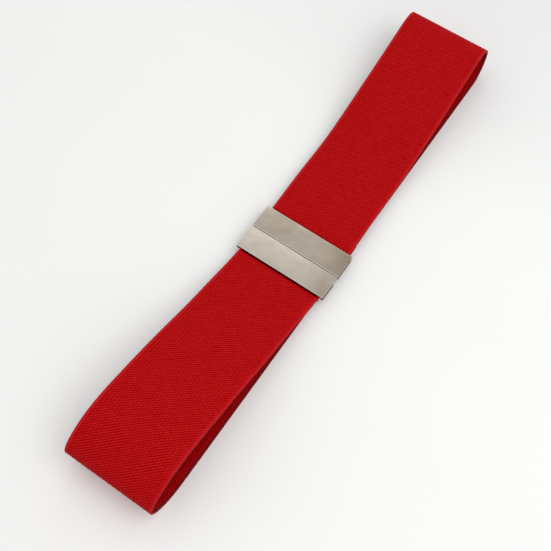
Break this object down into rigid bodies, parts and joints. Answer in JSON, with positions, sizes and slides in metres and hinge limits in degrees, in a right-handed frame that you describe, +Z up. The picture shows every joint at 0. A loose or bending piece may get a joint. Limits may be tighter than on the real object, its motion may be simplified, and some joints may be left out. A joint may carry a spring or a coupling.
{
  "type": "elastic stretch belt",
  "caption": "Wide woven elastic waist belt with a flat interlocking metal clasp, fastened and lying as a flattened loop.",
  "frame": {"origin": "on the surface that the belt lies on, below the middle of its outline", "axes": "+X along the belt from the hook half's loop towards the catch half's loop, +Y across the webbing's width, +Z up from the surface"},
  "size_m": [0.3224, 0.0542, 0.0307],
  "materials": {
    "webbing": "matt woven elastic with a fine diagonal rib and smooth selvages",
    "nickel": "satin nickel plate, slightly warm"
  },
  "bodies": {
    "root": {"elastic_band": "webbing", "clasp_hook_half": "nickel", "clasp_catch_half": "nickel"}
  },
  "joints": []
}
